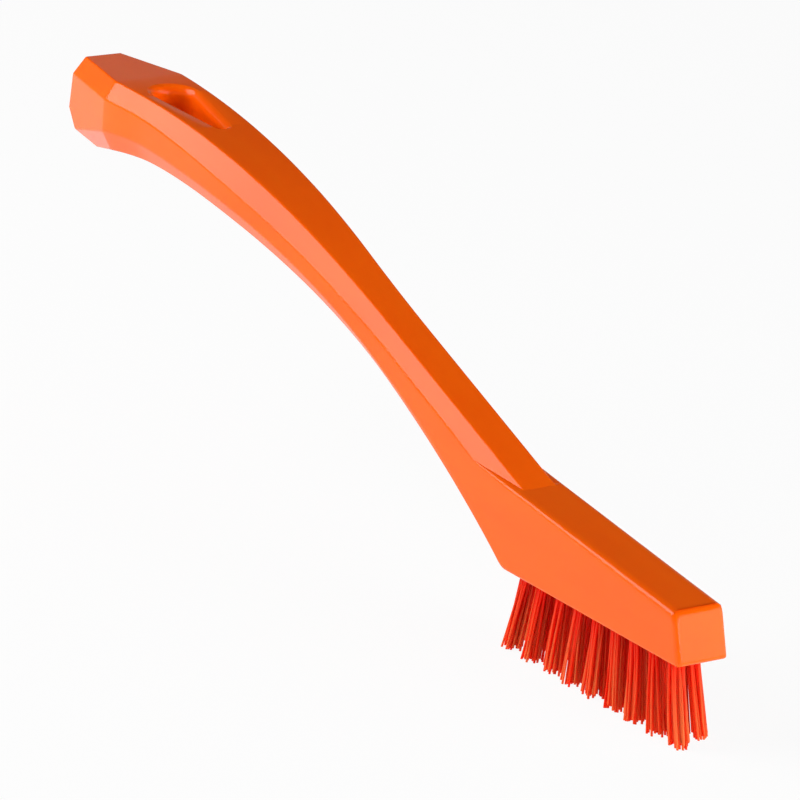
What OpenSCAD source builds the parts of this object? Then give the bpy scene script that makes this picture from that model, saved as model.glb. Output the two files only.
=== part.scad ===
// Narrow detail brush for grout lines. The handle, neck and head are one moulding.
// Millimetres. X runs from the toe of the head to the end of the handle, +Z is up.
// The brush stands on its bristle tips, with the origin under the middle of its length.

/* [Overall] */
// Length from the toe of the head to the end of the handle
overall_l = 205; // [195:1:225]

/* [Head] */
// Width of the head
head_w = 11; // [10.5:0.5:13]
// Length of the flat underside that carries the bristles
head_l = 52.6; // [50:0.2:58]
// Height of the head at its toe
toe_h = 9.4; // [9:0.1:12]
// How far the toe's top edge is set back from its bottom edge
toe_lean = 2.8; // [0:0.1:4]
// Slope of the head's top, in degrees
head_slope = 7.2; // [4:0.1:9]
// Radius of the toe's edges
toe_r = 0.8; // [0.3:0.1:1.5]
// Radius of the head's rear bottom corner, along the length
heel_r = 1.2; // [0.5:0.1:2]

/* [Neck and arch] */
// Distance from the head's rear bottom corner forward to the foot of the neck
neck_back = 2.4; // [1.5:0.1:5]
// Slope of the neck, in degrees
neck_slope = 21.3; // [18:0.1:25]
// Distance from the toe to where the top of the arch begins to curve
arch_x = 112.8; // [105:0.1:120]
// Radius of the arch along the handle's top
arch_r = 220; // [190:1:260]
// Slope of the underside where it leaves the head, in degrees
heel_slope = 37.6; // [32:0.1:42]
// Pull of the underside's curve at the head
heel_pull = 36; // [28:1:45]
// Slope of the underside at the start of the end taper, in degrees
end_slope = -9; // [-14:0.5:-2]
// Pull of the underside's curve at the end taper
end_pull = 44.5; // [35:0.5:55]

/* [Handle section] */
// Width of the flat top at the neck
neck_top_w = 7.1; // [6:0.1:8.5]
// Width of the flat top at the start of the end taper
grip_top_w = 15.3; // [13:0.1:16]
// Distance from the toe to where the flat top begins to widen
top_widens_x = 91.5; // [80:0.5:100]
// Width of the grip across its sides
grip_w = 18.5; // [17:0.1:20]
// Distance from the toe to where the sides begin to widen
sides_widen_x = 92; // [85:0.5:100]
// Distance from the toe to the full width of the grip
sides_full_x = 153; // [140:0.5:160]
// Width across the sides at the start of the end taper
fold_w = 20; // [19:0.1:22]
// Height of the upper chamfer at the neck
neck_bevel_h = 3.7; // [3:0.1:4.5]
// Height of the upper chamfer halfway along the handle
mid_bevel_h = 3.3; // [2.5:0.1:4]
// Height of the upper chamfer at the start of the end taper
fold_bevel_h = 3.5; // [3:0.1:4.5]
// Height of the lower chamfer along the grip
low_bevel_h = 3.1; // [2.5:0.1:3.8]
// Height of the lower chamfer at the start of the end taper
fold_low_bevel_h = 4.2; // [3.5:0.1:5]
// Width of the lower chamfer for each millimetre of its height
low_bevel_ratio = 0.55; // [0.4:0.01:0.7]
// Distance from the toe to where the lower chamfer fades in
low_bevel_from_x = 55.6; // [54:0.1:70]
// Distance from the toe to the lower chamfer's full height
low_bevel_full_x = 140; // [120:1:150]
// Width of the softened edges
edge_soft = 0.45; // [0.2:0.05:0.6]

/* [Handle end] */
// Length of the tapered end
taper_l = 18.8; // [15:0.1:22]
// Height of the handle at the start of the end taper
fold_h = 14.1; // [13:0.1:16]
// Height of the end, from its top edge to its bottom edge
end_h = 17.2; // [16:0.1:19]
// Width of the flat top at the end
end_top_w = 8; // [6:0.1:10]
// Width across the sides at the end
end_w = 12.9; // [11.5:0.1:15]
// Height of the upper chamfer at the end
end_bevel_h = 3.3; // [2.5:0.1:4]
// Drop from the top edge to the line of the end that stands out furthest
nose_drop = 10.6; // [9.5:0.1:12]
// How far the top edge is set back from that line
nose_lean = 1.6; // [0.5:0.1:3]
// Run of the undercut below that line for each millimetre that it drops
undercut_ratio = 1.1; // [0.8:0.05:1.3]
// Height of the lower chamfer at the end
end_low_bevel_h = 3.2; // [2.5:0.1:4]
// Width of the underside at the end
end_bottom_w = 7.2; // [6:0.1:9]

/* [Hanging hole] */
// Distance from the handle's end to the centre of the hole's wide end
hole_end_gap = 28.5; // [27:0.5:34]
// Distance between the centres of the hole's two round ends
hole_l = 16.5; // [12:0.5:20]
// Radius of the wide end
hole_r = 4; // [3.5:0.1:4.6]
// Radius of the narrow end
hole_tip_r = 0.9; // [0.6:0.1:2]
// Width of the flared rim
rim_w = 1.5; // [0.6:0.1:1.6]
// Depth of the flared rim
rim_depth = 2; // [0.8:0.1:2.5]

/* [Bristles] */
// Visible length of the bristles
bristle_l = 15; // [12:0.5:18]
// Tufts in each of the two rows
tufts = 9; // [5:1:9]
// Distance between the two rows
row_gap = 4.8; // [4.6:0.1:5.4]
// Distance from the toe to the first tuft of the right row
first_tuft_x = 4.7; // [4.5:0.1:5]
// How far the left row stands behind the right row, so that it fills the gaps
row_shift = 2; // [1.5:0.1:2.5]
// Distance from the last tuft of the left row to the head's rear corner
heel_gap = 2.7; // [2.6:0.1:4]
// Diameter of a tuft hole
hole_d = 3.3; // [3:0.1:3.4]
// Depth of a tuft hole
hole_depth = 6.5; // [5:0.1:7]
// Clearance between a tuft's root and its hole
tuft_fit = 0.06; // [0.04:0.01:0.12]
// Extra distance between tufts at their tips, from tuft to tuft
tip_fan = 0.8; // [0:0.01:1]
// How far all the tips lean towards the toe
tip_lean = 0.5; // [0:0.1:1]
// Outward lean of each row at its tips
row_lean = 0.5; // [0:0.1:0.8]
// How much wider a tuft is at its tips, along the row
splay_x = 1.4; // [1.2:0.05:1.6]
// How much wider a tuft is at its tips, across the row
splay_y = 1.4; // [1.2:0.05:1.5]
// Width of one bristle
strand_w = 0.4; // [0.3:0.01:0.4]
// Largest difference in length between bristles
uneven = 1.6; // [0:0.1:2]

/* [Tuft anchors] */
// Length of an anchor, which bites into both sides of its hole
anchor_l = 3.9; // [3.7:0.1:4.2]
// Height of an anchor
anchor_h = 1.5; // [1:0.1:2]
// Thickness of an anchor
anchor_t = 0.4; // [0.3:0.05:0.5]
// Clearance round an anchor
anchor_fit = 0.05; // [0.03:0.01:0.1]

/* [Hidden] */
neck_x = head_l - neck_back;
fold_x = overall_l - taper_l;
foot_z = toe_h + (neck_x - toe_lean) * tan(head_slope);
shoulder_x = neck_x + neck_bevel_h / (tan(neck_slope) - tan(head_slope));
// Lengths over which the sides and the lower chamfers swell towards the taper
swell_l = 14;
low_swell_l = 29;
// Share of the top's widening that is eased in
ease_share = 0.25;
// Stations along the arch, and points along the underside's curve
arch_steps = 40;
curve_steps = 80;
// Least and most share of the chamfer at which its foot line may lie
foot_min = 0.06;
foot_max = 0.94;
// Share at which the foot line starts at the toe, and how far it moves up along the neck
foot_start = 0.5;
foot_rise = 0.4;
// Least height of the lower side line above the underside
low_line_min = 1.3;
// Most share of a section's line that the rounding of one corner may take
soft_share = 0.45;
// Corner of a ring that lies on the widest line of its side
widest = 7;
// Distance from the last plain station of the head to the neck
neck_step = 1;
// Angles of the rings along the rounding of the hole's rim
rim_angles = [0, 32, 56, 76];
// How far cutters run past the surface
past = 1;
rim_past = 0.3;
// Depth to which each bristle is rooted in its tuft
root = 0.5;
// Places of the bristles across a tuft's root, as rings of [count, share of the radius]
strand_rings = [[3, 0.19], [8, 0.5], [12, 0.8]];
// Share of the scatter in length that the level cut of the tips takes away
cut_share = 0.4;
// Turns in degrees that scatter the lengths from bristle to bristle, tuft to tuft and row to row
strand_turn = 137.5;
tuft_turn = 71;
row_turn = 40;

tuft_names = concat(
    [for (i = [1:tufts]) str("right_tuft_", i)],
    [for (i = [1:tufts]) str("left_tuft_", i)]);

function unit(v) = v / norm(v);
function mix(a, b, t) = a + (b - a) * t;
function clamp(v, lo, hi) = min(max(v, lo), hi);
function ease(t) = let (s = clamp(t, 0, 1)) s * s * (3 - 2 * s);
// Rises from 0 at t = 0, eased in over the first share k, then straight to 1 at t = 1
function eased_ramp(t, k) =
    let (s = max(t, 0), m = 1 / (1 - k / 2))
    s < k ? m * s * s / (2 * k) : m * (s - k / 2);

// Top line of the head, and of the neck and arch, seen from the side
function head_top(x) = toe_h + (x - toe_lean) * tan(head_slope);
function crown_top(x) =
    let (z1 = foot_z + (arch_x - neck_x) * tan(neck_slope),
         level_x = arch_x + arch_r * sin(neck_slope),
         cz = z1 - arch_r * cos(neck_slope),
         dx = level_x - clamp(x, arch_x, level_x))
    x < arch_x ? foot_z + (x - neck_x) * tan(neck_slope) : cz + sqrt(arch_r * arch_r - dx * dx);
function top_z(x) = x < neck_x ? head_top(x) : crown_top(x);

// Underside: one curve from the head's rear corner to the end taper
fold_z = crown_top(fold_x) - fold_h;
p0 = [head_l, 0];
p3 = [fold_x, fold_z];
p1 = p0 + heel_pull * [cos(heel_slope), sin(heel_slope)];
p2 = p3 - end_pull * [cos(end_slope), sin(end_slope)];
function bezier(t) =
    pow(1 - t, 3) * p0 + 3 * pow(1 - t, 2) * t * p1 + 3 * (1 - t) * t * t * p2 + pow(t, 3) * p3;
under_curve = [for (i = [0:curve_steps]) bezier(i / curve_steps)];
function under_z(x) =
    let (s = tan(heel_slope), in = x - (head_l - heel_r))
    in <= 0 ? 0
    : in < 2 * heel_r ? s * in * in / (4 * heel_r)
    : lookup(x, under_curve);

// Half widths of the flat top and of the sides
function half_top(x) =
    neck_top_w / 2 + (grip_top_w - neck_top_w) / 2
    * eased_ramp((x - top_widens_x) / (fold_x - top_widens_x), ease_share);
function half_side(x) =
    head_w / 2
    + (grip_w - head_w) / 2 * ease((x - sides_widen_x) / (sides_full_x - sides_widen_x))
    + (fold_w - grip_w) / 2 * ease((x - fold_x + swell_l) / swell_l);
// Height of the upper chamfer, a parabola through its three sizes
function bevel_h(x) =
    let (t = (x - neck_x) / (fold_x - neck_x))
    neck_bevel_h * (1 - t) * (1 - 2 * t) + 4 * mid_bevel_h * t * (1 - t)
    + fold_bevel_h * t * (2 * t - 1);
function low_h(x) =
    low_bevel_h * ease((x - low_bevel_from_x) / (low_bevel_full_x - low_bevel_from_x))
    + (fold_low_bevel_h - low_bevel_h) * ease((x - fold_x + low_swell_l) / low_swell_l);

// Corners of one side of the section at x: top, chamfer foot, shoulder, side, low side, bottom.
// Where the neck rises out of the head, the chamfer's foot runs across the head's flat top.
function corners(x) =
    let (a = half_top(x), b = half_side(x), t = top_z(x), h = bevel_h(x), under = under_z(x),
         share = x < neck_x ? mix(foot_start, foot_min, x / neck_x) : (t - head_top(x)) / h,
         rising = x >= neck_x && share < foot_max,
         f = x < neck_x ? share
             : rising ? max(share, foot_min)
             : foot_max - foot_rise * clamp((x - shoulder_x) / (arch_x - shoulder_x), 0, 1),
         flat_z = x < neck_x ? t : head_top(x),
         foot = [a + (b - a) * f, x < neck_x || rising ? flat_z : t - f * h],
         shoulder = x < neck_x ? t : max(t - h, head_top(x)),
         w = low_h(x), low = under + max(w, low_line_min))
    [[a, t], foot, [b, shoulder], [b, (shoulder + low) / 2], [b, low],
     [b - low_bevel_ratio * w, under]];

// Three points that round the corner p between its neighbours
function soften(before, p, after) =
    let (e = min(edge_soft, soft_share * norm(before - p)),
         g = min(edge_soft, soft_share * norm(after - p)),
         a = p + e * unit(before - p), b = p + g * unit(after - p))
    [a, (a + 2 * p + b) / 4, b];
function mirrored(p) = [p[0], -p[1], p[2]];
// One whole ring of points from the six corners of its +Y side, given as [x, y, z]
function ring(c) =
    let (side = concat(
        soften(mirrored(c[0]), c[0], c[1]), [c[1]], soften(c[1], c[2], c[3]), [c[3]],
        soften(c[3], c[4], c[5]), soften(c[4], c[5], mirrored(c[5]))),
        n = len(side))
    concat(side, [for (i = [n - 1:-1:0]) mirrored(side[i])]);
function station(x) = ring([for (c = corners(x)) [x, c[0], c[1]]]);

// Toe: rings in the plane of the leaning toe, drawn in to round its edges
function toe_ring(d, inset) =
    let (top = head_top(d + toe_lean), k = 1 - 2 * inset / top)
    [for (p = ring([for (c = corners(0)) [0, c[0], c[1] * top / head_top(0)]]))
        let (z = inset + p[2] * k)
        [d + toe_lean * z / top, p[1] * (1 - 2 * inset / head_w), z]];

// End: a face that leans to a line, with an undercut below it
end_z = crown_top(overall_l);
nose_z = end_z - nose_drop;
bottom_z = end_z - end_h;
function end_x(z) =
    z > nose_z ? overall_l - nose_lean * (z - nose_z) / nose_drop
    : overall_l - (nose_z - z) * undercut_ratio;
// Half width of the tapered side at x
side_taper = (fold_w - end_w) / 2 / (end_x(end_z - end_bevel_h) - fold_x);
function tapered_side(x) = fold_w / 2 - (x - fold_x) * side_taper;
low_end_z = bottom_z + end_low_bevel_h;
end_corners = [
    [end_top_w / 2, end_z],
    [(end_top_w + end_w) / 4, end_z - end_bevel_h / 2],
    [end_w / 2, end_z - end_bevel_h],
    [tapered_side(overall_l), nose_z],
    [tapered_side(end_x(low_end_z)), low_end_z],
    [end_bottom_w / 2, bottom_z]];
end_ring = ring([for (c = end_corners) [end_x(c[1]), c[0], c[1]]]);
function drawn_in(p) =
    let (mid_z = (end_z + bottom_z) / 2, z = mid_z + (p[2] - mid_z) * (1 - 2 * toe_r / end_h))
    [end_x(z), p[1] * (1 - 2 * toe_r / end_w), z];
fold_ring = station(fold_x);
end_inner = [for (p = end_ring) drawn_in(p)];
end_outer = [for (i = [0:len(end_ring) - 1])
    end_ring[i] + toe_r * unit(fold_ring[i] - end_ring[i])];
end_middle = (end_inner + 2 * end_ring + end_outer) / 4;

// Share of the edge radius by which the middle ring of a rounded edge is drawn in
round_share = 1 - sqrt(0.5);
station_x = concat(
    [head_l * 0.25, head_l * 0.5, head_l * 0.75, neck_x - neck_step, neck_x],
    [for (i = [-2:1:2]) head_l + heel_r * i / 2],
    [for (i = [1:6]) mix(head_l + heel_r, shoulder_x, i / 6)],
    [for (i = [1:arch_steps]) mix(shoulder_x, fold_x, i / arch_steps)]);
rings = concat(
    [toe_ring(0, toe_r), toe_ring(toe_r * round_share, toe_r * round_share), toe_ring(toe_r, 0)],
    [for (x = station_x) station(x)],
    [end_outer, end_middle, end_inner]);

// Skin through a list of rings. A fan from a middle point closes the first and the last ring.
module loft(rings, first_middle, last_middle) {
    n = len(rings[0]);
    last = len(rings) - 1;
    skin = [for (k = [0:last - 1]) for (j = [0:n - 1])
        let (a = k * n + j, b = k * n + (j + 1) % n, c = a + n, d = b + n)
        for (f = [[a, b, d], [a, d, c]]) f];
    first_cap = [for (j = [0:n - 1]) [j, (last + 1) * n, (j + 1) % n]];
    last_cap = [for (j = [0:n - 1]) [last * n + j, last * n + (j + 1) % n, (last + 1) * n + 1]];
    polyhedron(concat([for (r = rings) for (p = r) p], [first_middle, last_middle]),
        concat(skin, first_cap, last_cap));
}
function middle(r) = (r[widest] + mirrored(r[widest])) / 2;

// The hanging hole is a drop in plan: two round ends joined by the lines that touch both.
// This is its outline, larger by grow all round.
hole_x = overall_l - hole_end_gap;
hole_turn = 90 + asin((hole_r - hole_tip_r) / hole_l);
hole_steps = 22;
hole_tip_steps = 7;
function hole_outline(grow) = concat(
    [for (k = [0:hole_steps]) let (a = hole_turn * (1 - 2 * k / hole_steps))
        [hole_x, 0] + (hole_r + grow) * [cos(a), sin(a)]],
    [for (k = [0:hole_tip_steps])
        let (a = -hole_turn - (360 - 2 * hole_turn) * k / hole_tip_steps)
        [hole_x - hole_l, 0] + (hole_tip_r + grow) * [cos(a), sin(a)]]);
// Rounding of the hole's rim, as [how far it is widened, depth below the surface]
rim_rows = concat(
    [for (a = rim_angles) [rim_w * (1 - cos(a)), rim_depth * (1 - sin(a))]],
    [[rim_w + rim_past, -rim_past]]);
hole_rings = concat(
    [for (i = [len(rim_rows) - 1:-1:0]) [for (p = hole_outline(rim_rows[i][0]))
        [p[0], p[1], under_z(p[0]) + rim_rows[i][1]]]],
    [for (row = rim_rows) [for (p = hole_outline(row[0]))
        [p[0], p[1], crown_top(p[0]) - row[1]]]]);
module hanging_hole() {
    loft(hole_rings,
        [hole_x, 0, under_z(hole_x) - rim_past], [hole_x, 0, crown_top(hole_x) + rim_past]);
}

// Tufts along a row: side is 1 for the right row and -1 for the left row
pitch = (head_l - first_tuft_x - row_shift - heel_gap) / (tufts - 1);
function tuft_x(i, side) = first_tuft_x + (i - 1) * pitch + (side < 0 ? row_shift : 0);
function row_y(side) = side * row_gap / 2;
module tuft_hole() {
    translate([0, 0, -past]) cylinder(h = hole_depth + past, d = hole_d, $fn = 32);
    slot_l = anchor_l + 2 * anchor_fit;
    slot_t = anchor_t + 2 * anchor_fit;
    translate([-slot_l / 2, -slot_t / 2, hole_depth - anchor_h]) cube([slot_l, slot_t, anchor_h]);
}
module each_tuft() {
    for (side = [1, -1]) for (i = [1:tufts])
        translate([tuft_x(i, side), row_y(side), 0]) children();
}

// How far the tips of tuft i lean along the row, from the middle of the rows
function lean_x(i, side) =
    tip_fan * (tuft_x(i, side) - tuft_x((tufts + 1) / 2, 1)) / pitch - tip_lean;
root_r = hole_d / 2 - tuft_fit;
outer_share = strand_rings[len(strand_rings) - 1][1];
// The foremost point is on the first tuft's tips or on the toe
front_x = min(0, tuft_x(1, 1) + lean_x(1, 1) - root_r * outer_share * splay_x - strand_w / 2);
// Moves the model so that it stands on its bristles under the middle of its length
module place() {
    translate([-(overall_l + front_x) / 2, 0, bristle_l]) children();
}

module handle_block() {
    color("#F26A1B") place() difference() {
        loft(rings, middle(rings[0]), middle(rings[len(rings) - 1]));
        hanging_hole();
        each_tuft() tuft_hole();
    }
}

module tuft_anchors() {
    color("silver") place() each_tuft()
        translate([-anchor_l / 2, -anchor_t / 2, hole_depth - anchor_h + anchor_fit])
            cube([anchor_l, anchor_t, anchor_h - anchor_fit]);
}

// Bristle k of a tuft: its place across the root, as [x, y]
strand_spots = [for (r = strand_rings) for (j = [0:r[0] - 1])
    let (turn = 360 * (j + 0.5 * (r[0] % 2)) / r[0])
    root_r * r[1] * [cos(turn), sin(turn)]];
// Lengths differ by a fixed scatter, and none reaches below the plane of the tips
function tip_z(i, side, k) =
    let (scatter = 0.5 + 0.5 * sin(strand_turn * k + tuft_turn * i + row_turn * side))
    -bristle_l + uneven * max(0, scatter - cut_share);
module strand(from, to) {
    h = strand_w / 2;
    square = [[-h, -h], [h, -h], [h, h], [-h, h]];
    points = concat([for (s = square) [from[0] + s[0], from[1] + s[1], from[2]]],
        [for (s = square) [to[0] + s[0], to[1] + s[1], to[2]]]);
    sides = [for (j = [0:3]) let (a = j, b = (j + 1) % 4)
        for (f = [[a, b, b + 4], [a, b + 4, a + 4]]) f];
    polyhedron(points, concat(sides, [[0, 2, 1], [0, 3, 2], [4, 5, 6], [4, 6, 7]]));
}
module tuft(i, side) {
    out_x = lean_x(i, side);
    out_y = side * row_lean;
    color("#F03A14") place() translate([tuft_x(i, side), row_y(side), 0]) union() {
        difference() {
            cylinder(h = hole_depth, r = root_r, $fn = 32);
            translate([-anchor_l / 2, -anchor_t / 2 - anchor_fit, hole_depth - anchor_h])
                cube([anchor_l, anchor_t + 2 * anchor_fit, anchor_h + past]);
        }
        for (k = [0:len(strand_spots) - 1])
            let (p = strand_spots[k], z = tip_z(i, side, k), t = (root - z) / (root + bristle_l))
            strand([p[0], p[1], root], [
                p[0] + t * (p[0] * (splay_x - 1) + out_x),
                p[1] + t * (p[1] * (splay_y - 1) + out_y), z]);
    }
}

handle_block();
tuft_anchors();
for (i = [1:tufts]) {
    tuft(i, 1);
    tuft(i, -1);
}
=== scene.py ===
# %% [markdown]
# # A narrow grout brush, dressed for the camera
# The CAD model gives the brush's true size and place. This script replaces its faceted
# handle with a smooth one from the same lengths, fills each tuft with round filaments, and
# lights the whole like a product picture on a white table.

import math
import random

import bmesh
import bpy
from mathutils import Matrix, Vector


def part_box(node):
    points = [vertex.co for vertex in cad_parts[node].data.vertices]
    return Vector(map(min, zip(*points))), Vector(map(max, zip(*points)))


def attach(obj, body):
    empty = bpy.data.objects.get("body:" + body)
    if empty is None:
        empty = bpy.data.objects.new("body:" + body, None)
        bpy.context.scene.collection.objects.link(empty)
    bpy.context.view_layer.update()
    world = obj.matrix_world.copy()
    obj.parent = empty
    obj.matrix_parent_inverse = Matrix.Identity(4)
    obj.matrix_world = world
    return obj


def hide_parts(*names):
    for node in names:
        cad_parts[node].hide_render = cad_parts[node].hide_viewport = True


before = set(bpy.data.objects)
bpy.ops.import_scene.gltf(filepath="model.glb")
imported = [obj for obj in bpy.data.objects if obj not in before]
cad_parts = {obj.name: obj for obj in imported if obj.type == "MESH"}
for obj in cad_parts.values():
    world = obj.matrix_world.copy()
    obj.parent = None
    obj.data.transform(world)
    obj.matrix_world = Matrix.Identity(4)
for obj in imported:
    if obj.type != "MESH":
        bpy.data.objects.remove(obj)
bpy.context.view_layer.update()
MM = 0.001

# %% [markdown]
# ## Four small helpers
# `linear` turns an sRGB hex colour into the linear values that shaders use. `add` makes one
# shader node, sets its inputs, and links those that are given as sockets. `material` starts an
# empty material, and `mesh_object` makes an object from points in millimetres.


# %% Helpers
def linear(code):
    values = [int(code[i : i + 2], 16) / 255 for i in (1, 3, 5)]
    return [v / 12.92 if v <= 0.04045 else ((v + 0.055) / 1.055) ** 2.4 for v in values] + [1]


def add(tree, kind, inputs=None, **settings):
    made = tree.nodes.new(kind)
    for name, value in settings.items():
        setattr(made, name, value)
    for name, value in (inputs or {}).items():
        if isinstance(value, bpy.types.NodeSocket):
            tree.links.new(value, made.inputs[name])
        else:
            made.inputs[name].default_value = value
    return made


def material(name):
    made = bpy.data.materials.new(name)
    made.use_nodes = True
    made.node_tree.nodes.clear()
    return made, made.node_tree


def mesh_object(name, vertices, faces, smooth=True):
    mesh = bpy.data.meshes.new(name)
    mesh.from_pydata([[c * MM for c in v] for v in vertices], [], faces)
    mesh.validate()
    if smooth:
        mesh.shade_smooth()
    made = bpy.data.objects.new(name, mesh)
    bpy.context.scene.collection.objects.link(made)
    return made


print("colour test:", [round(v, 3) for v in linear("#F06414")])

# %% [markdown]
# ## The handle's form
# The handle is a long gem: a flat top, two upper chamfers, two sides, two lower chamfers and
# a flat underside. It could be pushed into shape by hand, but each of these faces follows its
# own plain rule along the length. So the form is written as functions of x, the distance from
# the toe of the head, in millimetres.

# %% Lengths of the handle
# The whole length, then the head: length, width, the toe's height and lean, the top's slope
LENGTH, HEAD_L, HEAD_W, TOE_H, TOE_LEAN, HEAD_SLOPE = 205.0, 52.6, 11.0, 9.4, 2.8, 7.2
# How far before the heel the neck starts, its slope, and the arch that follows it
NECK_BACK, NECK_SLOPE, ARCH_X, ARCH_R = 2.4, 21.3, 112.8, 220.0
# The underside: its slope and pull at both ends, and the rounding at the heel
HEEL_SLOPE, HEEL_PULL, HEEL_R, END_SLOPE, END_PULL = 37.6, 36.0, 1.2, -9.0, 44.5
# The tapered end: its length, and the height of the section at the fold and at the end
TAPER_L, FOLD_H, END_H = 18.8, 14.1, 17.2
BRISTLE_L = 15.0
# The first tuft's tips reach this far beyond the toe, and the brush is centred with them
FRONT_X = -0.981
ORIGIN_X = (LENGTH + FRONT_X) / 2
NECK_X = HEAD_L - NECK_BACK
FOLD_X = LENGTH - TAPER_L
# Half widths of the flat top and the sides, and the heights of the chamfers
TOP_NECK, TOP_FOLD, TOP_WIDENS_X, TOP_EASE = 3.55, 7.65, 91.5, 0.25
SIDE_GRIP, SIDE_FOLD, SIDE_FROM_X, SIDE_FULL_X, SWELL_L = 9.25, 10.0, 92.0, 153.0, 14.0
BEVEL_NECK, BEVEL_MID, BEVEL_FOLD = 3.7, 3.3, 3.5
LOW_GRIP, LOW_FOLD, LOW_FROM_X, LOW_FULL_X, LOW_SWELL_L = 3.1, 4.2, 55.6, 140.0, 29.0
# How far in the lower chamfer goes for its height, and the least height of its line
LOW_RATIO, LOW_LEAST = 0.55, 1.3
# Where the foot of the upper chamfer stands, as shares of the way from the top to the side
FOOT_START, FOOT_MIN, FOOT_MAX, FOOT_SINK = 0.1, 0.06, 0.94, 0.4
print("handle:", LENGTH, "mm long, with its fold at", round(FOLD_X, 2), "mm")

# %% [markdown]
# Widths and chamfers change softly along the handle, so that no kink shows. `ease` starts and
# stops softly, and `eased_ramp` starts softly and then goes on straight.


# %% Soft curves
def tan(degrees):
    return math.tan(math.radians(degrees))


def clamp(v, low, high):
    return min(max(v, low), high)


def mix(a, b, t):
    return a + (b - a) * t


def ease(t):
    s = clamp(t, 0, 1)
    return s * s * (3 - 2 * s)


def eased_ramp(t, k):
    """Ramp that is curved for the first share k, and reaches 1 where t is 1."""
    s, m = max(t, 0), 1 / (1 - k / 2)
    return m * s * s / (2 * k) if s < k else m * (s - k / 2)


print("a quarter through an ease:", ease(0.25))

# %% [markdown]
# From the side, the top is a straight line on the head and a steeper one on the neck. An arc
# follows, and it ends level on the grip.


# %% Top line
def head_top(x):
    return TOE_H + (x - TOE_LEAN) * tan(HEAD_SLOPE)


def crown_top(x):
    if x < ARCH_X:
        return head_top(NECK_X) + (x - NECK_X) * tan(NECK_SLOPE)
    level_x = ARCH_X + ARCH_R * math.sin(math.radians(NECK_SLOPE))
    start_z = head_top(NECK_X) + (ARCH_X - NECK_X) * tan(NECK_SLOPE)
    dx = level_x - min(x, level_x)
    return start_z - ARCH_R * math.cos(math.radians(NECK_SLOPE)) + math.sqrt(ARCH_R**2 - dx * dx)


def top_z(x):
    return head_top(x) if x < NECK_X else crown_top(x)


SHOULDER_X = NECK_X + BEVEL_NECK / (tan(NECK_SLOPE) - tan(HEAD_SLOPE))
END_Z = crown_top(LENGTH)
print("shoulder at", round(SHOULDER_X, 2), "mm, top of the end at", round(END_Z, 2), "mm")

# %% [markdown]
# The underside is one curve with two handles, like the curves of a drawing program. It
# starts steeply behind the head and is almost level at the grip.


# %% Underside
def bezier(t):
    a, b = math.radians(HEEL_SLOPE), math.radians(END_SLOPE)
    p0 = Vector((HEAD_L, 0))
    p3 = Vector((FOLD_X, crown_top(FOLD_X) - FOLD_H))
    p1 = p0 + HEEL_PULL * Vector((math.cos(a), math.sin(a)))
    p2 = p3 - END_PULL * Vector((math.cos(b), math.sin(b)))
    s = 1 - t
    return s**3 * p0 + 3 * s * s * t * p1 + 3 * s * t * t * p2 + t**3 * p3


UNDER_STEPS = 400
UNDER = [bezier(i / UNDER_STEPS) for i in range(UNDER_STEPS + 1)]


def under_z(x):
    """Height of the underside over the sole: level, then a rounded heel, then the curve."""
    run = x - (HEAD_L - HEEL_R)
    if run <= 0:
        return 0.0
    if run < 2 * HEEL_R:
        return tan(HEEL_SLOPE) * run * run / (4 * HEEL_R)
    for p, q in zip(UNDER, UNDER[1:]):
        if x <= q.x:
            return mix(p.y, q.y, (x - p.x) / (q.x - p.x))
    return UNDER[-1].y


print("height over the floor at the fold:", round(under_z(FOLD_X) + BRISTLE_L, 2), "mm")

# %% [markdown]
# The top and the sides grow wider from the neck to the fold. The upper chamfer stays about as
# high all along, and the lower one grows from nothing behind the head.


# %% Widths and chamfers
def half_top(x):
    ramp = eased_ramp((x - TOP_WIDENS_X) / (FOLD_X - TOP_WIDENS_X), TOP_EASE)
    return TOP_NECK + (TOP_FOLD - TOP_NECK) * ramp


def half_side(x):
    grip = ease((x - SIDE_FROM_X) / (SIDE_FULL_X - SIDE_FROM_X))
    swell = ease((x - FOLD_X + SWELL_L) / SWELL_L)
    return HEAD_W / 2 + (SIDE_GRIP - HEAD_W / 2) * grip + (SIDE_FOLD - SIDE_GRIP) * swell


def bevel_h(x):
    """Height of the upper chamfer, by a curve through the neck, the middle and the fold."""
    t = (x - NECK_X) / (FOLD_X - NECK_X)
    return (
        BEVEL_NECK * (1 - t) * (1 - 2 * t)
        + 4 * BEVEL_MID * t * (1 - t)
        + BEVEL_FOLD * t * (2 * t - 1)
    )


def low_h(x):
    grow = ease((x - LOW_FROM_X) / (LOW_FULL_X - LOW_FROM_X))
    swell = ease((x - FOLD_X + LOW_SWELL_L) / LOW_SWELL_L)
    return LOW_GRIP * grow + (LOW_FOLD - LOW_GRIP) * swell


print("half widths at the fold:", round(half_top(FOLD_X), 2), "and", half_side(FOLD_X), "mm")

# %% [markdown]
# ## Sections
# A section has six corners on each side: the edge of the top, the foot of the upper chamfer,
# the shoulder, the middle of the side, the low line and the edge of the underside. Where the
# neck grows out of the head, the foot of the chamfer runs over the head's flat top.


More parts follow.
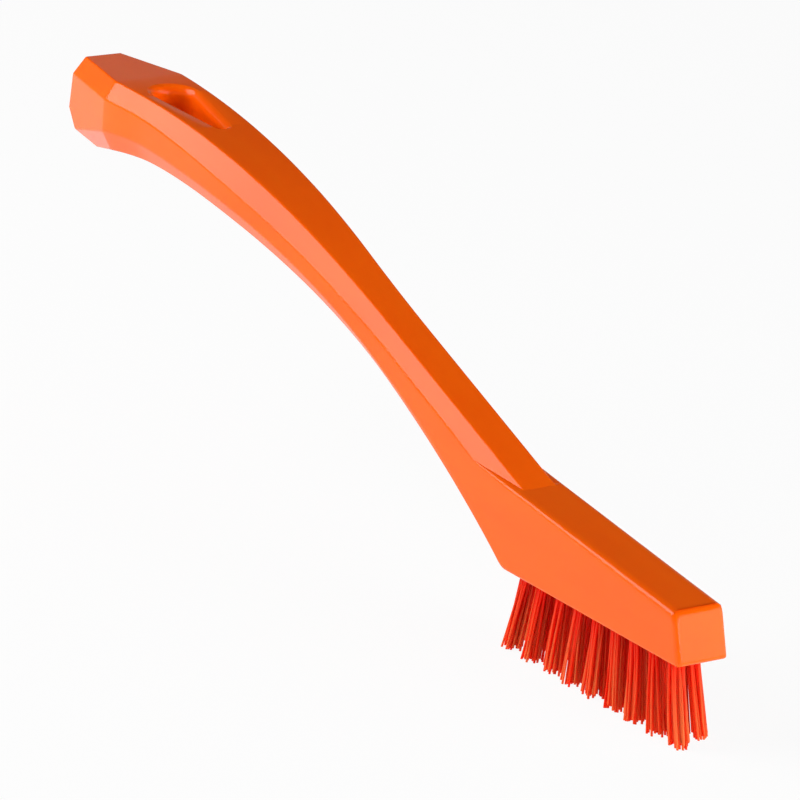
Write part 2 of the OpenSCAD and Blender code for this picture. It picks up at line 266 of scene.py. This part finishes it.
# %% Corners
def corners(x):
    """The six corners of the +Y side at x, each as its y and z."""
    a, b, t, h, under = half_top(x), half_side(x), top_z(x), bevel_h(x), under_z(x)
    share = mix(FOOT_START, FOOT_MIN, x / NECK_X) if x < NECK_X else (t - head_top(x)) / h
    rising = x >= NECK_X and share < FOOT_MAX
    if x < NECK_X:
        f, foot_z = share, t
    elif rising:
        f, foot_z = max(share, FOOT_MIN), head_top(x)
    else:
        f = FOOT_MAX - FOOT_SINK * clamp((x - SHOULDER_X) / (ARCH_X - SHOULDER_X), 0, 1)
        foot_z = t - f * h
    shoulder = t if x < NECK_X else max(t - h, head_top(x))
    w = low_h(x)
    low = under + max(w, LOW_LEAST)
    foot_y = a + (b - a) * f
    return [(a, t), (foot_y, foot_z), (b, shoulder), (b, (shoulder + low) / 2), (b, low),
            (b - LOW_RATIO * w, under)]


print("corners at the middle of the head:", [(round(y, 1), round(z, 1)) for y, z in corners(25)])

# %% [markdown]
# A mould leaves no sharp edge, so every corner is rounded with a short curve. A bevel modifier
# could do this too, but curves in the section let the shoulder's rounding grow towards the toe.

# %% Rounded sections
EDGE_STEPS = 5
# The share of the lines beside a corner that its curve may take, and more at the shoulder
MOST, MOST_SHOULDER = 0.45, 0.8
# How far the curves reach, on the grip and on the head where there are two values
TOP_REACH, SHOULDER_REACH, LOW_REACH, BOTTOM_REACH = 0.35, (0.4, 0.7), 0.4, (0.5, 0.6)
# What the shoulder's reach gains at the toe, and the length over which the head's values come
TOE_REACH, HEAD_BLEND = 0.9, 10


def soften(before, p, after, reach, most=MOST):
    """Curve round the corner p, which takes no more than a share of the lines beside it."""
    e = min(reach, most * (before - p).length)
    g = min(reach, most * (after - p).length)
    start, end = p + e * (before - p).normalized(), p + g * (after - p).normalized()
    steps = [i / (EDGE_STEPS - 1) for i in range(EDGE_STEPS)]
    return [(1 - t) ** 2 * start + 2 * (1 - t) * t * p + t * t * end for t in steps]


def flipped(p):
    return Vector((p.x, -p.y, p.z))


def ring(c, reach):
    """Whole ring of points from the six corners of the +Y side, with four edge reaches."""
    side = soften(flipped(c[0]), c[0], c[1], reach[0]) + [c[1]]
    side += soften(c[1], c[2], c[3], reach[1], most=MOST_SHOULDER)
    side += [c[2].lerp(c[3], 0.5), c[3], c[3].lerp(c[4], 0.5)]
    side += soften(c[3], c[4], c[5], reach[2])
    side += soften(c[4], c[5], flipped(c[5]), reach[3])
    return side + [flipped(p) for p in reversed(side)]


def reaches(x):
    """How far each edge's rounding reaches: top, shoulder, low line and bottom edge."""
    head = clamp((SHOULDER_X - x) / HEAD_BLEND, 0, 1)
    toe = clamp(1 - x / SHOULDER_X, 0, 1)
    shoulder = mix(*SHOULDER_REACH, head) + TOE_REACH * toe
    return TOP_REACH, shoulder, LOW_REACH, mix(*BOTTOM_REACH, head)


def station(x):
    return ring([Vector((x, y, z)) for y, z in corners(x)], reaches(x))


print("points in a section:", len(station(100)))

# %% [markdown]
# ## The toe
# The toe leans back, and its four edges are rounded by drawing the section in, ring by ring.

# %% Toe
TOE_R, TOE_STEPS = 1.05, 7


def toe_ring(d, inset):
    """Ring that lies d behind the leaning face and is drawn in by the inset all round."""
    top = head_top(d + TOE_LEAN)
    narrow, low = 1 - 2 * inset / HEAD_W, 1 - 2 * inset / top
    base = ring([Vector((0, y, z * top / head_top(0))) for y, z in corners(0)], reaches(0))
    out = []
    for p in base:
        z = inset + p.z * low
        out.append(Vector((d + TOE_LEAN * z / top, p.y * narrow, z)))
    return out


toe_rings = []
for i in range(TOE_STEPS + 1):
    turn = math.radians(90 * i / TOE_STEPS)
    toe_rings.append(toe_ring(TOE_R * (1 - math.sin(turn)), TOE_R * (1 - math.cos(turn))))
toe_rings.reverse()
print("toe:", len(toe_rings), "rings")

# %% [markdown]
# ## The end
# The end is cut like a stone: flat facets run from the fold to the end's face. The face leans
# out to a nose, which is the line that stands out furthest, and an undercut closes it below.

# %% End
# Half widths of the end's top and sides, the bevel between them, and where the nose stands
END_TOP, END_SIDE, END_BEVEL, NOSE_DROP, NOSE_LEAN = 4.0, 6.45, 3.3, 10.6, 1.6
# The undercut's slope, the lower chamfer's height and half width, and the rim's radius
UNDERCUT, END_LOW, END_BOTTOM, END_R = 1.1, 3.2, 3.6, 0.5
END_REACHES = (0.3, 0.3, 0.3, 0.4)
NOSE_Z, BOTTOM_Z = END_Z - NOSE_DROP, END_Z - END_H


def end_x(z):
    if z > NOSE_Z:
        return LENGTH - NOSE_LEAN * (z - NOSE_Z) / NOSE_DROP
    return LENGTH - (NOSE_Z - z) * UNDERCUT


def tapered_side(x):
    full = end_x(END_Z - END_BEVEL) - FOLD_X
    return SIDE_FOLD - (SIDE_FOLD - END_SIDE) * (x - FOLD_X) / full


low_z = BOTTOM_Z + END_LOW
end_corners = [
    (END_TOP, END_Z),
    ((END_TOP + END_SIDE) / 2, END_Z - END_BEVEL / 2),
    (END_SIDE, END_Z - END_BEVEL),
    (tapered_side(LENGTH), NOSE_Z),
    (tapered_side(end_x(low_z)), low_z),
    (END_BOTTOM, BOTTOM_Z),
]
end_ring = ring([Vector((end_x(z), y, z)) for y, z in end_corners], END_REACHES)
fold_ring = station(FOLD_X)


def drawn_in(p, inset):
    """The point p of the end's rim, moved over the end's face towards its middle."""
    mid = (END_Z + BOTTOM_Z) / 2
    z = mid + (p.z - mid) * (1 - 2 * inset / END_H)
    return Vector((end_x(z), p.y * (1 - inset / END_SIDE), z))


def end_round(turn):
    """Ring on the rounding of the end's rim: turn 0 is on the sides and 90 on the end."""
    k, along = 1 - math.sin(math.radians(turn)), 1 - math.cos(math.radians(turn))
    out = []
    for p, q in zip(end_ring, fold_ring):
        back = p + END_R * k * (q - p).normalized()
        inward = drawn_in(p, END_R * along) - p
        out.append(back + inward)
    return out


print("end face from", round(BOTTOM_Z, 1), "to", round(END_Z, 1), "mm above the sole")

# %% [markdown]
# ## The skin
# All the rings are joined into one skin. Stations stand close where the form turns quickly,
# and on both sides of the fold, so that its edge stays crisp but catches some light.

# %% Stations
# The softness of the fold, the first station, and the close ones where the neck starts
FOLD_SOFT, FIRST_STATION, CLOSE = 0.35, 1.5, 0.25


def between(low, high, count):
    return [mix(low, high, i / count) for i in range(1, count + 1)]


xs = between(FIRST_STATION, NECK_X - 1, 26) + [NECK_X - CLOSE, NECK_X, NECK_X + CLOSE]
# The places where the form changes, and how many stations lie between them
stops = (
    NECK_X + CLOSE, HEAD_L - HEEL_R, HEAD_L + HEEL_R, SHOULDER_X, ARCH_X, FOLD_X - FOLD_SOFT)
for low, high, steps in zip(stops, stops[1:], (4, 10, 24, 34, 70)):
    xs += between(low, high, steps)
rings = toe_rings + [station(x) for x in xs]
rings.append([p.lerp(q, FOLD_SOFT / TAPER_L) for p, q in zip(fold_ring, end_ring)])
rings += [end_round(turn) for turn in range(0, 91, 15)]
print("stations:", len(xs), "of", len(rings), "rings")

# %% [markdown]
# Four neighbouring points of two rings make one face. The toe is closed by one flat face, and
# the end by two that meet at the nose.


# %% Handle skin
def skin(rings):
    """Vertices and faces of a closed skin through rings of equal length."""
    n = len(rings[0])
    vertices = [p for r in rings for p in r]
    faces = []
    for k in range(len(rings) - 1):
        for j in range(n):
            a, b = k * n + j, k * n + (j + 1) % n
            faces.append((a, a + n, b + n, b))
    return vertices, faces


vertices, faces = skin(rings)
n, last = len(rings[0]), (len(rings) - 1) * len(rings[0])
faces.append(tuple(range(n)))
# In each half ring, the nose is point number 12: the middle of the side
nose = 12
upper = list(range(0, nose + 1)) + list(range(n - 1 - nose, n))
lower = list(range(nose, n - nose))
faces += [tuple(last + j for j in reversed(part)) for part in (upper, lower)]
handle = mesh_object("handle_moulding", [(p.x, p.y, p.z) for p in vertices], faces)
print("handle skin:", len(handle.data.vertices), "points")

# %% [markdown]
# ## Hanging hole
# The hanging hole is a drop in plan, with a softly rounded rim. Its cutter is a closed body
# whose rings widen towards both ends, and the handle keeps what is outside it. The hole could
# be modelled into the skin, but then the skin's regular rings would have to go round it.

# %% Hanging hole
# The wide end's centre, the length between centres, both radii, and the rim's rounding
HOLE_X, HOLE_L, HOLE_R, HOLE_TIP_R, RIM_W, RIM_D = LENGTH - 28.5, 16.5, 4.0, 0.9, 1.5, 2.0
# The degrees at which the rounding is drawn, and how far the cutter goes on into the air
RIM_TURNS, RIM_PAST, RIM_OVER = (0, 12, 24, 36, 48, 60, 72, 83), 1.4, 0.35


def drop(grow, wide_steps=56, tip_steps=16):
    """Outline of the drop, made wider all round: the wide arc and then the tip's arc."""
    turn = 90 + math.degrees(math.asin((HOLE_R - HOLE_TIP_R) / HOLE_L))
    out = []
    for k in range(wide_steps + 1):
        a = math.radians(turn * (1 - 2 * k / wide_steps))
        out.append((HOLE_X + (HOLE_R + grow) * math.cos(a), (HOLE_R + grow) * math.sin(a)))
    for k in range(tip_steps + 1):
        a = math.radians(-turn - (360 - 2 * turn) * k / tip_steps)
        r = HOLE_TIP_R + grow
        out.append((HOLE_X - HOLE_L + r * math.cos(a), r * math.sin(a)))
    return out


rim = [(RIM_W * (1 - math.cos(a)), RIM_D * (1 - math.sin(a)))
       for a in (math.radians(t) for t in RIM_TURNS)]
rim.append((RIM_W * RIM_PAST, -RIM_OVER))
hole_rings = [[Vector((x, y, under_z(x) + d)) for x, y in drop(g)] for g, d in reversed(rim)]
hole_rings += [[Vector((x, y, crown_top(x) - d)) for x, y in drop(g)] for g, d in rim]
vertices, faces = skin(hole_rings)
count = len(hole_rings[0])
faces += [tuple(range(count)), tuple(range(len(vertices) - 1, len(vertices) - 1 - count, -1))]
cutter = mesh_object("cutter_drop", [(p.x, p.y, p.z) for p in vertices], faces)
print("drop cutter:", len(cutter.data.vertices), "points")

# %% [markdown]
# ## Tuft holes
# The blind holes for the tufts are drilled into the sole, in two rows. All the drills are one
# object, so that one cut makes all the holes.

# %% Tuft holes
# How many in a row, how far apart in and between rows, the left row's shift, the first place
TUFTS, PITCH, ROW_GAP, ROW_SHIFT, FIRST_X = 9, 5.4, 4.8, 2.0, 4.7
# The holes' diameter and depth, and the height at which the drills start, below the sole
TUFT_D, TUFT_DEPTH, DRILL_START = 3.3, 6.5, -1.0
ROWS = {"right": 1, "left": -1}


def drill(x, y, sides=28):
    """Points and faces of one closed cylinder."""
    circle = [(x + TUFT_D / 2 * math.cos(2 * math.pi * k / sides),
               y + TUFT_D / 2 * math.sin(2 * math.pi * k / sides)) for k in range(sides)]
    points = [(px, py, z) for z in (DRILL_START, TUFT_DEPTH) for px, py in circle]
    walls = [(k, (k + 1) % sides, sides + (k + 1) % sides, sides + k) for k in range(sides)]
    return points, walls + [tuple(range(sides - 1, -1, -1)), tuple(range(sides, 2 * sides))]


def tuft_centre(row, i):
    """The left row stands a little behind the right row, and so fills its gaps."""
    return FIRST_X + (i - 1) * PITCH + (ROW_SHIFT if row < 0 else 0), row * ROW_GAP / 2


points, faces = [], []
for row in ROWS.values():
    for i in range(1, TUFTS + 1):
        more, walls = drill(*tuft_centre(row, i))
        faces += [tuple(len(points) + j for j in wall) for wall in walls]
        points += more
drills = mesh_object("cutter_drills", points, faces)
print("drills:", len(drills.data.vertices), "points")

# %% [markdown]
# The cuts are made once, and the cutters then go.


# %% Cut the holes
def turn_outwards(o):
    work = bmesh.new()
    work.from_mesh(o.data)
    bmesh.ops.recalc_face_normals(work, faces=work.faces)
    work.to_mesh(o.data)
    work.free()


for o in (handle, cutter, drills):
    turn_outwards(o)
for tool in (cutter, drills):
    cut = handle.modifiers.new("cut", "BOOLEAN")
    cut.operation, cut.solver, cut.object = "DIFFERENCE", "EXACT", tool
graph = bpy.context.evaluated_depsgraph_get()
mesh = bpy.data.meshes.new_from_object(handle.evaluated_get(graph))
handle.modifiers.clear()
handle.data = mesh
for tool in (cutter, drills):
    bpy.data.objects.remove(tool)
mesh.transform(Matrix.Translation((-ORIGIN_X * MM, 0, BRISTLE_L * MM)))
print("after the cuts:", len(mesh.polygons), "faces")

# %% [markdown]
# Normals are weighted by the faces' areas, so the large faces on both sides of a moulded edge
# keep their flat shading, and the small ones between them turn from one to the other.

# %% Shading of the handle
SHARP_FROM, WEIGHT = 42, 60
mesh.shade_smooth()
mesh.set_sharp_from_angle(angle=math.radians(SHARP_FROM))
weigh = handle.modifiers.new("weighted normals", "WEIGHTED_NORMAL")
weigh.mode, weigh.weight, weigh.keep_sharp = "FACE_AREA", WEIGHT, True
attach(handle, "root")
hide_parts("handle_block")
print("sharp edges from", SHARP_FROM, "degrees")

# %% [markdown]
# ## Orange polypropylene
# The handle is satin injection-moulded polypropylene, index of refraction 1.49. Light enters
# it a little, so it gets a short red scatter. The mould leaves a very fine grain, and the
# melt leaves faint, long streaks of slightly different colour. The skin is not quite flat
# where the plastic shrank, so the gloss wavers a little.

# %% Handle material
# Cells to the metre: streaks about 55 mm long and 9 mm wide, grain cells of about 0.4 mm and
# waves of about 6 mm. Real grain is finer, and is drawn as coarse as it needs to show
STREAKS, GRAIN, WAVES = (18, 110, 110), 2600.0, 160.0
# How high the grain and the waves stand, in metres
GRAIN_H, WAVE_H = 0.00003, 0.0002
plastic, tree = material("polypropylene_satin_orange")
place = add(tree, "ShaderNodeTexCoord").outputs["Object"]
streak_place = add(tree, "ShaderNodeMapping", {"Vector": place, "Scale": STREAKS})
streaks = add(tree, "ShaderNodeTexNoise",
              {"Vector": streak_place.outputs[0], "Scale": 1.0, "Detail": 3.0})
tone = add(tree, "ShaderNodeValToRGB", {"Fac": streaks.outputs["Fac"]})
tone.color_ramp.elements[0].position, tone.color_ramp.elements[1].position = 0.3, 0.7
tone.color_ramp.elements[0].color = linear("#F75C04")
tone.color_ramp.elements[1].color = linear("#FB6205")
grain = add(tree, "ShaderNodeTexNoise", {"Vector": place, "Scale": GRAIN, "Detail": 2.0})
waves = add(tree, "ShaderNodeTexNoise", {"Vector": place, "Scale": WAVES, "Detail": 1.0})
bump = add(tree, "ShaderNodeBump",
           {"Strength": 0.25, "Distance": GRAIN_H, "Height": grain.outputs["Fac"]})
soft_bump = add(tree, "ShaderNodeBump", {
    "Strength": 0.2, "Distance": WAVE_H, "Height": waves.outputs["Fac"],
    "Normal": bump.outputs["Normal"]})
rough = add(tree, "ShaderNodeMapRange", {
    "Value": waves.outputs["Fac"], "To Min": 0.13, "To Max": 0.17})
shader = add(tree, "ShaderNodeBsdfPrincipled", {
    "Base Color": tone.outputs["Color"], "Roughness": rough.outputs["Result"], "IOR": 1.49,
    "Specular IOR Level": 0.31, "Normal": soft_bump.outputs["Normal"], "Subsurface Weight": 0.12,
    "Subsurface Radius": (1.0, 0.25, 0.08), "Subsurface Scale": 0.0015})
add(tree, "ShaderNodeOutputMaterial", {"Surface": shader.outputs[0]})
handle.data.materials.clear()
handle.data.materials.append(plastic)
print("handle material:", len(tree.nodes), "nodes")

# %% [markdown]
# ## Filaments
# A tuft is a bundle of nearly straight polyester filaments, 0.44 mm thick, folded under a
# small anchor and driven into its hole. Hair curves could draw it, but rods are real meshes,
# which the export keeps. Each filament is a thin round rod with a slight bow of its own.

# %% Filament
STRANDS, STRAND_R, SIDES, JOINTS = 40, 0.22, 8, 5


def rod(points, radius):
    """Round rod through the points, all its rings level, closed at both ends."""
    vertices, faces = [], []
    for p in points:
        for k in range(SIDES):
            a = 2 * math.pi * (k + 0.5) / SIDES
            vertices.append((p[0] + radius * math.cos(a), p[1] + radius * math.sin(a), p[2]))
    for j in range(len(points) - 1):
        for k in range(SIDES):
            a, b = j * SIDES + k, j * SIDES + (k + 1) % SIDES
            faces.append((a, a + SIDES, b + SIDES, b))
    first, end = tuple(range(SIDES)), len(vertices) - SIDES
    faces += [first, tuple(end + k for k in reversed(range(SIDES)))]
    return vertices, faces


print("points in a filament:", len(rod([(0, 0, j) for j in range(JOINTS + 1)], STRAND_R)[0]))

# %% [markdown]
# Below the sole the bundle fans out, and the ends were cut level, a little unevenly. The roots
# follow a sunflower's pattern, which fills a round hole evenly. Every tip then wanders a
# little, and stays inside the box of the tuft's solid.

# %% Tufts
# The fan along the row, the common lean, the row's own lean, and how much a tuft splays
TIP_FAN, TIP_LEAN, ROW_LEAN, SPLAY_X, SPLAY_Y = 0.8, 0.5, 0.5, 1.4, 1.4
# How far the roots go in, their circle's radius, and the angle of a sunflower's pattern
ROOT_IN, ROOT_R, GOLDEN = 1.5, 1.4, math.pi * (3 - math.sqrt(5))
# Filaments end up to this far above the floor, and a third of them reach it
UNEVEN, CUT = 1.2, (-0.5, 1.0)
# How far tips wander at the tuft's middle, how much more at its rim, the share across the row
WANDER, WANDER_RIM, WANDER_ACROSS = 0.2, 0.3, 0.7
BOW_ALONG, BOW_ACROSS = 0.12, 0.09
# A cut end keeps its sharp rim where faces meet at more degrees than this
TIP_SHARP = 60


def tuft(name, row, i, seed):
    """One tuft as one mesh, with a colour layer that carries facts for the material."""
    rng = random.Random(seed)
    cx, cy = tuft_centre(row, i)
    low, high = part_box(name)
    inner = [(low[k] / MM + STRAND_R, high[k] / MM - STRAND_R) for k in (0, 1)]
    middle_x = tuft_centre(1, (TUFTS + 1) / 2)[0]
    fan_x, fan_y = TIP_FAN * (cx - middle_x) / PITCH - TIP_LEAN, row * ROW_LEAN
    vertices, faces, facts = [], [], []
    for k in range(STRANDS):
        r = ROOT_R * math.sqrt((k + 0.5) / STRANDS)
        u, v = r * math.cos(k * GOLDEN), r * math.sin(k * GOLDEN)
        short = max(0.0, rng.uniform(*CUT)) * UNEVEN
        wander = WANDER + WANDER_RIM * r / ROOT_R
        tip_x = cx + u * SPLAY_X + fan_x + rng.gauss(0, wander) - ORIGIN_X
        tip_y = cy + v * SPLAY_Y + fan_y + rng.gauss(0, wander * WANDER_ACROSS)
        tip = Vector((clamp(tip_x, *inner[0]), clamp(tip_y, *inner[1]), short))
        root = Vector((cx + u - ORIGIN_X, cy + v, BRISTLE_L))
        bow = Vector((rng.gauss(0, BOW_ALONG), rng.gauss(0, BOW_ACROSS), 0))
        line = [root + Vector((0, 0, ROOT_IN))]
        for j in range(JOINTS):
            t = j / (JOINTS - 1)
            line.append(root.lerp(tip, t) + bow * 4 * t * (1 - t))
        more, walls = rod(line, STRAND_R)
        faces += [tuple(len(vertices) + f for f in wall) for wall in walls]
        vertices += more
        # Each point keeps its filament's own shade, and how far it is from the root
        shade = rng.random()
        facts += [(shade, j / JOINTS, 0.0, 1.0) for j in range(JOINTS + 1) for _ in range(SIDES)]
    made = mesh_object(name + "_filaments", vertices, faces)
    layer = made.data.color_attributes.new("filament", "FLOAT_COLOR", "POINT")
    for point, fact in zip(layer.data, facts):
        point.color = fact
    made.data.set_sharp_from_angle(angle=math.radians(TIP_SHARP))
    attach(made, "root")
    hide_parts(name)
    return made


tufts = []
for side, row in ROWS.items():
    for i in range(1, TUFTS + 1):
        tufts.append(tuft(f"{side}_tuft_{i}", row, i, 100 * (row + 2) + i))
print(len(tufts), "tufts of", STRANDS, "filaments")

# %% [markdown]
# ## Polyester filament
# The filaments are extruded polyester, dyed a hot orange-red and slightly clear, so light
# that enters the bundle comes out deep red. Every filament has its own tone. Towards the root
# all of them get a painted shade, a deeper red, where the bundle shades itself.

# %% Filament material
# How much of a filament's look is light that comes through it, and not off its surface
THROUGH_SHARE = 0.62
filament, tree = material("polyester_filament_red_orange")
facts = add(tree, "ShaderNodeVertexColor", layer_name="filament").outputs["Color"]
fact = add(tree, "ShaderNodeSeparateColor", {"Color": facts})
tone = add(tree, "ShaderNodeValToRGB", {"Fac": fact.outputs["Red"]})
tone.color_ramp.elements[0].color = linear("#FF4A08")
tone.color_ramp.elements[1].color = linear("#FFB060")
# Painted shade: the colour turns deeper red towards the root, where the bundle shades itself
painted_root_shade = add(tree, "ShaderNodeValToRGB", {"Fac": fact.outputs["Green"]})
painted_root_shade.color_ramp.elements[0].position, painted_root_shade.color_ramp.elements[1].position = 0.15, 0.9
painted_root_shade.color_ramp.elements[0].color = linear("#FF5858")
painted_root_shade.color_ramp.elements[1].color = linear("#FFFFFF")
colour = add(tree, "ShaderNodeMixRGB", {
    "Fac": 1.0, "Color1": tone.outputs["Color"], "Color2": painted_root_shade.outputs["Color"]},
    blend_type="MULTIPLY")
shader = add(tree, "ShaderNodeBsdfPrincipled", {
    "Base Color": colour.outputs["Color"], "Roughness": 0.4, "IOR": 1.57,
    "Specular IOR Level": 0.3})
through = add(tree, "ShaderNodeBsdfTranslucent", {"Color": linear("#FF0A02")})
shader = add(tree, "ShaderNodeMixShader", {
    0: THROUGH_SHARE, 1: shader.outputs[0], 2: through.outputs[0]})
add(tree, "ShaderNodeOutputMaterial", {"Surface": shader.outputs[0]})
for made in tufts:
    made.data.materials.append(filament)
print("filament material on", len(tufts), "tufts")

# %% [markdown]
# ## Stainless anchors
# The anchors that hold the tufts are cold-rolled stainless strip. They sit inside the block,
# so the CAD solids stay, and get fine rolling marks.

# %% Anchor material
# Cells to the metre: marks about 2.5 mm long and 0.11 mm wide
MARKS = (400, 9000, 9000)
steel, tree = material("stainless_strip_rolled")
place = add(tree, "ShaderNodeTexCoord").outputs["Object"]
marks_place = add(tree, "ShaderNodeMapping", {"Vector": place, "Scale": MARKS})
marks = add(tree, "ShaderNodeTexNoise", {"Vector": marks_place.outputs[0], "Scale": 1.0})
rough = add(tree, "ShaderNodeMapRange", {
    "Value": marks.outputs["Fac"], "To Min": 0.22, "To Max": 0.4})
shader = add(tree, "ShaderNodeBsdfPrincipled", {
    "Base Color": linear("#C9C7C2"), "Metallic": 1.0, "Roughness": rough.outputs["Result"]})
add(tree, "ShaderNodeOutputMaterial", {"Surface": shader.outputs[0]})
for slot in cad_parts["tuft_anchors"].material_slots:
    slot.material = steel
print("anchors on", len(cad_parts["tuft_anchors"].material_slots), "slot")

# %% [markdown]
# ## Table
# The brush stands on a white table that fills the picture. More light would make a table
# white, but the brush too pale. So where the camera, gloss or clear matter sees the table, most
# of it is plain white. The small rest is its lit surface, which keeps a pale shadow.

# %% Floor
# Half the table's length in metres, and the share of it that is plain white
FLOOR, WHITE_SHARE = 6.0, 0.93
square = [(x * FLOOR / MM, y * FLOOR / MM, 0) for x, y in ((-1, -1), (1, -1), (1, 1), (-1, 1))]
floor = mesh_object("table_top", square, [(0, 1, 2, 3)])
white, tree = material("white_table_laminate")
path = add(tree, "ShaderNodeLightPath")
seen = add(tree, "ShaderNodeMath", {
    0: path.outputs["Is Camera Ray"], 1: path.outputs["Is Glossy Ray"]}, operation="ADD")
seen = add(tree, "ShaderNodeMath", {
    0: seen.outputs[0], 1: path.outputs["Is Transmission Ray"]}, operation="ADD")
share = add(tree, "ShaderNodeMath", {
    0: seen.outputs[0], 1: WHITE_SHARE}, operation="MULTIPLY")
matte = add(tree, "ShaderNodeBsdfDiffuse", {"Color": linear("#F4F4F4")})
glow = add(tree, "ShaderNodeEmission", {"Color": (1, 1, 1, 1), "Strength": 1.0})
both = add(tree, "ShaderNodeMixShader", {
    0: share.outputs[0], 1: matte.outputs[0], 2: glow.outputs[0]})
add(tree, "ShaderNodeOutputMaterial", {"Surface": both.outputs[0]})
floor.data.materials.append(white)
print("table:", 2 * FLOOR, "m wide")

# %% [markdown]
# ## Light
# The room is dim low down and nearly dark above, so the flat top mirrors hardly anything. Four
# soft boxes add the rest, and none of them hangs overhead. The side box stands on the near side
# and the front box before the toe. They give those faces their colour, and are hidden from
# gloss, because the real picture shows no reflection of them. The band box stands high behind
# the grip, and the upper chamfer mirrors it as a pale band. The fill box lights the far side.

# %% Room
# The room's strength low down and above, and the heights between which it changes: these are
# sines of the angle over the horizon, so it changes at about 20 degrees
ROOM_LOW, ROOM_HIGH, CHANGE_FROM, CHANGE_TO = 0.25, 0.03, 0.32, 0.36
world = bpy.data.worlds.new("dim_room")
bpy.context.scene.world = world
world.use_nodes = True
tree = world.node_tree
direction = add(tree, "ShaderNodeTexCoord").outputs["Generated"]
height = add(tree, "ShaderNodeSeparateXYZ", {"Vector": direction}).outputs["Z"]
glow = add(tree, "ShaderNodeMapRange", {
    "Value": height, "From Min": CHANGE_FROM, "From Max": CHANGE_TO,
    "To Min": ROOM_LOW, "To Max": ROOM_HIGH})
tree.links.new(glow.outputs["Result"], tree.nodes["Background"].inputs["Strength"])
tree.nodes["Background"].inputs["Color"].default_value = (1, 1, 1, 1)
print("room:", ROOM_LOW, "low down and", ROOM_HIGH, "above")

# %% [markdown]
# A soft box is an area lamp that faces the middle of the brush. Its direction says where it
# stands, its size is in metres and its power in watts.

# %% Soft boxes
TARGET, BOX_DISTANCE = Vector((0, 0, 0.04)), 0.9


def soft_box(name, direction, size, power, mirrored=True):
    lamp = bpy.data.lights.new(name, "AREA")
    lamp.shape, lamp.size, lamp.size_y, lamp.energy = "RECTANGLE", size[0], size[1], power
    made = bpy.data.objects.new(name, lamp)
    towards = Vector(direction).normalized()
    made.location = TARGET + towards * BOX_DISTANCE
    made.rotation_euler = towards.to_track_quat("Z", "Y").to_euler()
    made.visible_glossy = mirrored
    bpy.context.scene.collection.objects.link(made)


soft_box("side_box", (0.46, 0.87, 0.11), (0.5, 0.5), 7.8, mirrored=False)
soft_box("front_box", (-0.98, -0.17, 0.06), (0.5, 0.4), 8.6, mirrored=False)
soft_box("band_box", (0.513, 0.612, 0.602), (0.7, 0.54), 5.2)
soft_box("fill_box", (-0.817, -0.556, 0.17), (1.2, 0.6), 4.0)
print("soft boxes at", BOX_DISTANCE, "m")

# %% [markdown]
# ## Camera
# A product picture is taken with a long lens from far away, which keeps the form free of
# strong perspective. The camera looks down on the near side and is tilted a little.

# %% Camera
# Lens and sensor in millimetres, and the distance in metres to the point that it looks at
FOCAL, SENSOR, DISTANCE = 239.2, 36.0, 1.0
AZIMUTH, ELEVATION, ROLL = 144, 18.8, 4.44
LOOK_AT = Vector((110 - ORIGIN_X, -11.21, 11.09 + BRISTLE_L)) * MM
lens = bpy.data.cameras.new("camera")
lens.lens, lens.sensor_width, lens.clip_start, lens.clip_end = FOCAL, SENSOR, 0.05, 20
camera = bpy.data.objects.new("camera", lens)
bpy.context.scene.collection.objects.link(camera)
azimuth, elevation, roll = [math.radians(v) for v in (AZIMUTH, ELEVATION, ROLL)]
back = Vector((math.cos(elevation) * math.cos(azimuth),
               math.cos(elevation) * math.sin(azimuth), math.sin(elevation)))
right = Vector((0, 0, 1)).cross(back).normalized()
up = back.cross(right)
turned_right = math.cos(roll) * right + math.sin(roll) * up
turned_up = math.cos(roll) * up - math.sin(roll) * right
pose = Matrix((turned_right, turned_up, back)).transposed().to_4x4()
pose.translation = LOOK_AT + back * DISTANCE
camera.matrix_world = pose
bpy.context.scene.camera = camera
print("camera at", [round(v, 3) for v in pose.translation])

# %% [markdown]
# ## Colour
# The Standard view shows colours as they were written.

# %% Standard colour and the end of the script
bpy.context.scene.view_settings.view_transform = "Standard"
bpy.context.view_layer.update()
